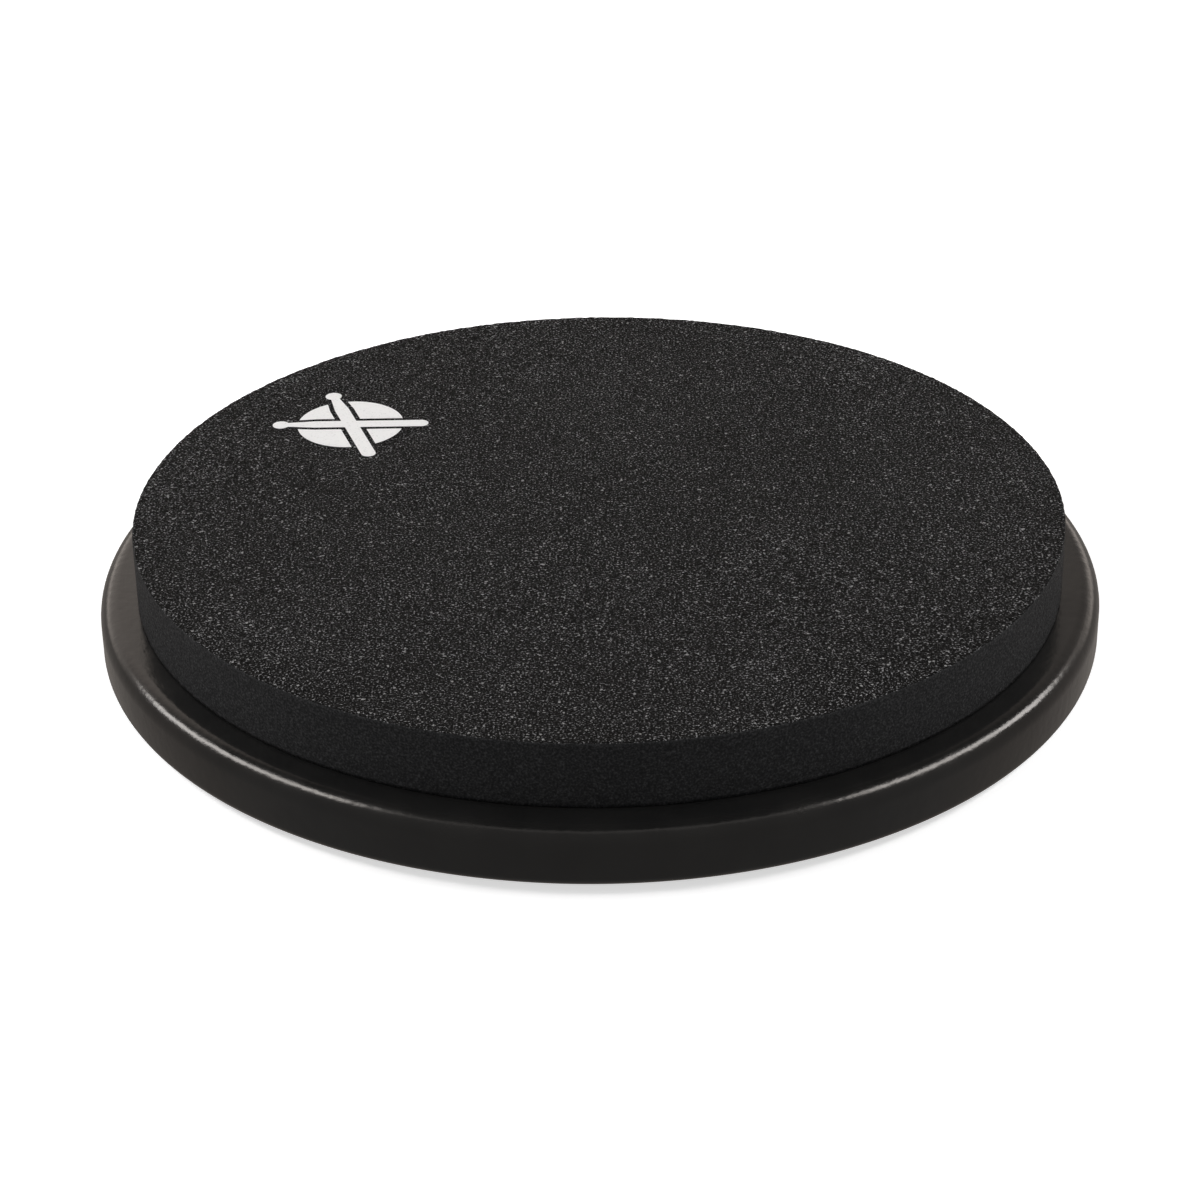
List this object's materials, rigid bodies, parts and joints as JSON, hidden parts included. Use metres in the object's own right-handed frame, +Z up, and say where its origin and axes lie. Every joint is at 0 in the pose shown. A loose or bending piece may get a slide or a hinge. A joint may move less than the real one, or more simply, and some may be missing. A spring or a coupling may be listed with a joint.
{
  "type": "drum practice pad",
  "caption": "Round drum practice pad: a thick cellular foam playing disc glued on a lacquered round board, with an anti-slip rubber base and a threaded centre insert for a stand.",
  "frame": {"origin": "centre of the pad on the plane that it rests on, the underside of the rubber base sheet", "axes": "+Z up through the playing surface; -Y towards the player; +X to the player's right"},
  "size_m": [0.305, 0.305, 0.0405],
  "materials": {
    "foam": "cut-cell foam, matte black with a fine grain",
    "print_ink": "opaque white print",
    "adhesive_film": "translucent double-sided film",
    "lacquered_board": "fibreboard under satin black lacquer",
    "plated_insert": "zinc plated",
    "base_rubber": "matte black, lightly textured"
  },
  "bodies": {
    "root": {"foam_pad": "foam", "printed_emblem": "print_ink", "foam_adhesive": "adhesive_film", "base_board": "lacquered_board", "threaded_insert": "plated_insert", "rubber_adhesive": "adhesive_film", "rubber_base_sheet": "base_rubber"}
  },
  "joints": []
}
